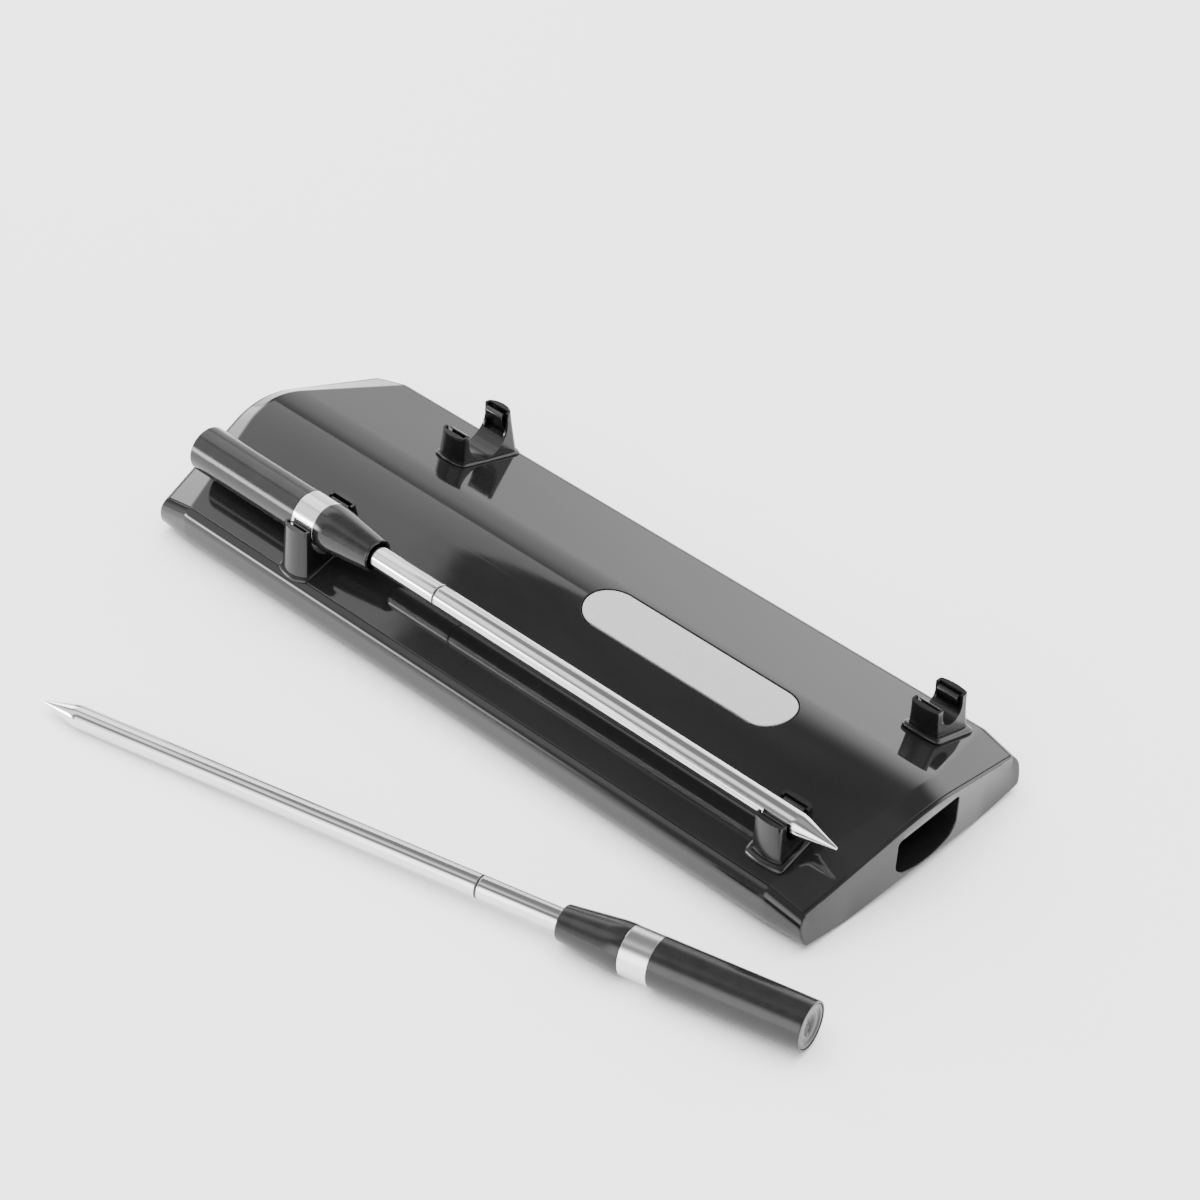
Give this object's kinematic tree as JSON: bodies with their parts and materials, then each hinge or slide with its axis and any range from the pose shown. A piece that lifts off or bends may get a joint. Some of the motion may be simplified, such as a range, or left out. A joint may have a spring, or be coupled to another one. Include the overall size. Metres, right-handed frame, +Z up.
{
  "type": "wireless meat thermometer",
  "caption": "Flat charging base with a low roof-shaped top, sprung clips and a socket in one end, holding one pointed steel temperature probe and standing beside a second.",
  "frame": {"origin": "centre of the anti-slip pad's underside, on the ground under the middle of the base", "axes": "+X along the base towards the end with the charge socket, +Y to the back, +Z up"},
  "size_m": [0.2064, 0.1211, 0.0256],
  "materials": {
    "lower_housing": "mirror gloss",
    "top_cover": "mirror gloss",
    "handle_clip_front": "mirror gloss",
    "handle_clip_rear": "mirror gloss",
    "tip_clip_front": "mirror gloss",
    "tip_clip_rear": "mirror gloss",
    "badge_plate": "satin",
    "anti_slip_pad": "matt",
    "battery_foam": "matt",
    "case_screw_1": "plated",
    "case_screw_2": "plated",
    "case_screw_3": "plated",
    "case_screw_4": "plated",
    "usb_receptacle": "plated",
    "main_board": "solder mask",
    "base_antenna": "solder mask",
    "handle_contact_board_front": "solder mask",
    "handle_contact_board_rear": "solder mask",
    "tip_contact_board_front": "solder mask",
    "tip_contact_board_rear": "solder mask",
    "battery_cell": "wrapped",
    "usb_tongue": "matt",
    "handle_spring_front_inner": "dark spring steel",
    "handle_spring_front_outer": "dark spring steel",
    "handle_spring_rear_inner": "dark spring steel",
    "handle_spring_rear_outer": "dark spring steel",
    "tip_spring_front_inner": "dark spring steel",
    "tip_spring_front_outer": "dark spring steel",
    "tip_spring_rear_inner": "dark spring steel",
    "tip_spring_rear_outer": "dark spring steel",
    "docked_shaft": "polished",
    "docked_sleeve": "polished",
    "docked_contact_band": "polished",
    "docked_joint_ring": "matt",
    "docked_nose_bush": "matt",
    "docked_band_carrier": "matt",
    "docked_nose_cone": "satin gloss",
    "docked_handle": "satin gloss",
    "docked_end_cap": "satin gloss",
    "docked_tip_sensor": "bright",
    "docked_antenna": "bright",
    "docked_air_sensor": "bright",
    "docked_cell": "wrapped",
    "docked_sensor_board": "solder mask",
    "loose_shaft": "polished",
    "loose_sleeve": "polished",
    "loose_contact_band": "polished",
    "loose_joint_ring": "matt",
    "loose_nose_bush": "matt",
    "loose_band_carrier": "matt",
    "loose_nose_cone": "satin gloss",
    "loose_handle": "satin gloss",
    "loose_end_cap": "satin gloss",
    "loose_tip_sensor": "bright",
    "loose_antenna": "bright",
    "loose_air_sensor": "bright",
    "loose_cell": "wrapped",
    "loose_sensor_board": "solder mask"
  },
  "bodies": {
    "base": {"lower_housing": "lower_housing", "top_cover": "top_cover", "handle_clip_front": "handle_clip_front", "handle_clip_rear": "handle_clip_rear", "tip_clip_front": "tip_clip_front", "tip_clip_rear": "tip_clip_rear", "badge_plate": "badge_plate", "anti_slip_pad": "anti_slip_pad", "battery_foam": "battery_foam", "case_screw_1": "case_screw_1", "case_screw_2": "case_screw_2", "case_screw_3": "case_screw_3", "case_screw_4": "case_screw_4", "usb_receptacle": "usb_receptacle", "main_board": "main_board", "base_antenna": "base_antenna", "handle_contact_board_front": "handle_contact_board_front", "handle_contact_board_rear": "handle_contact_board_rear", "tip_contact_board_front": "tip_contact_board_front", "tip_contact_board_rear": "tip_contact_board_rear", "battery_cell": "battery_cell", "usb_tongue": "usb_tongue"},
    "docked_probe": {"docked_shaft": "docked_shaft", "docked_joint_ring": "docked_joint_ring", "docked_sleeve": "docked_sleeve", "docked_nose_bush": "docked_nose_bush", "docked_nose_cone": "docked_nose_cone", "docked_contact_band": "docked_contact_band", "docked_band_carrier": "docked_band_carrier", "docked_handle": "docked_handle", "docked_end_cap": "docked_end_cap", "docked_tip_sensor": "docked_tip_sensor", "docked_cell": "docked_cell", "docked_antenna": "docked_antenna", "docked_air_sensor": "docked_air_sensor", "docked_sensor_board": "docked_sensor_board"},
    "loose_probe": {"loose_shaft": "loose_shaft", "loose_joint_ring": "loose_joint_ring", "loose_sleeve": "loose_sleeve", "loose_nose_bush": "loose_nose_bush", "loose_nose_cone": "loose_nose_cone", "loose_contact_band": "loose_contact_band", "loose_band_carrier": "loose_band_carrier", "loose_handle": "loose_handle", "loose_end_cap": "loose_end_cap", "loose_tip_sensor": "loose_tip_sensor", "loose_cell": "loose_cell", "loose_antenna": "loose_antenna", "loose_air_sensor": "loose_air_sensor", "loose_sensor_board": "loose_sensor_board"},
    "handle_spring_front_inner_leaf": {"handle_spring_front_inner": "handle_spring_front_inner"},
    "handle_spring_front_outer_leaf": {"handle_spring_front_outer": "handle_spring_front_outer"},
    "handle_spring_rear_inner_leaf": {"handle_spring_rear_inner": "handle_spring_rear_inner"},
    "handle_spring_rear_outer_leaf": {"handle_spring_rear_outer": "handle_spring_rear_outer"},
    "tip_spring_front_inner_leaf": {"tip_spring_front_inner": "tip_spring_front_inner"},
    "tip_spring_front_outer_leaf": {"tip_spring_front_outer": "tip_spring_front_outer"},
    "tip_spring_rear_inner_leaf": {"tip_spring_rear_inner": "tip_spring_rear_inner"},
    "tip_spring_rear_outer_leaf": {"tip_spring_rear_outer": "tip_spring_rear_outer"}
  },
  "joints": [
    {"name": "docked_probe_lift", "type": "slide", "parent": "base", "child": "docked_probe", "axis": [0, 0, 1], "range_m": [0, 0.03]},
    {"name": "loose_probe_lift", "type": "slide", "parent": "base", "child": "loose_probe", "axis": [0, 0, 1], "range_m": [0, 0.03]},
    {"name": "handle_spring_front_inner_flex", "type": "hinge", "parent": "base", "child": "handle_spring_front_inner_leaf", "pos_m": [-0.0507, -0.0165, 0.017], "axis": [-1, 0, 0], "range_deg": [0, 3], "stiffness_Nm_per_rad": 0.004},
    {"name": "handle_spring_front_outer_flex", "type": "hinge", "parent": "base", "child": "handle_spring_front_outer_leaf", "pos_m": [-0.0507, -0.0291, 0.017], "axis": [1, 0, 0], "range_deg": [0, 3], "stiffness_Nm_per_rad": 0.004},
    {"name": "handle_spring_rear_inner_flex", "type": "hinge", "parent": "base", "child": "handle_spring_rear_inner_leaf", "pos_m": [-0.0507, 0.0165, 0.017], "axis": [1, 0, 0], "range_deg": [0, 8], "stiffness_Nm_per_rad": 0.004},
    {"name": "handle_spring_rear_outer_flex", "type": "hinge", "parent": "base", "child": "handle_spring_rear_outer_leaf", "pos_m": [-0.0507, 0.0291, 0.017], "axis": [-1, 0, 0], "range_deg": [0, 8], "stiffness_Nm_per_rad": 0.004},
    {"name": "tip_spring_front_inner_flex", "type": "hinge", "parent": "base", "child": "tip_spring_front_inner_leaf", "pos_m": [0.0787, -0.01945, 0.0186], "axis": [-1, 0, 0], "range_deg": [0, 5], "stiffness_Nm_per_rad": 0.004},
    {"name": "tip_spring_front_outer_flex", "type": "hinge", "parent": "base", "child": "tip_spring_front_outer_leaf", "pos_m": [0.0787, -0.02615, 0.0186], "axis": [1, 0, 0], "range_deg": [0, 5], "stiffness_Nm_per_rad": 0.004},
    {"name": "tip_spring_rear_inner_flex", "type": "hinge", "parent": "base", "child": "tip_spring_rear_inner_leaf", "pos_m": [0.0787, 0.01945, 0.0186], "axis": [1, 0, 0], "range_deg": [0, 10], "stiffness_Nm_per_rad": 0.004},
    {"name": "tip_spring_rear_outer_flex", "type": "hinge", "parent": "base", "child": "tip_spring_rear_outer_leaf", "pos_m": [0.0787, 0.02615, 0.0186], "axis": [-1, 0, 0], "range_deg": [0, 10], "stiffness_Nm_per_rad": 0.004}
  ]
}
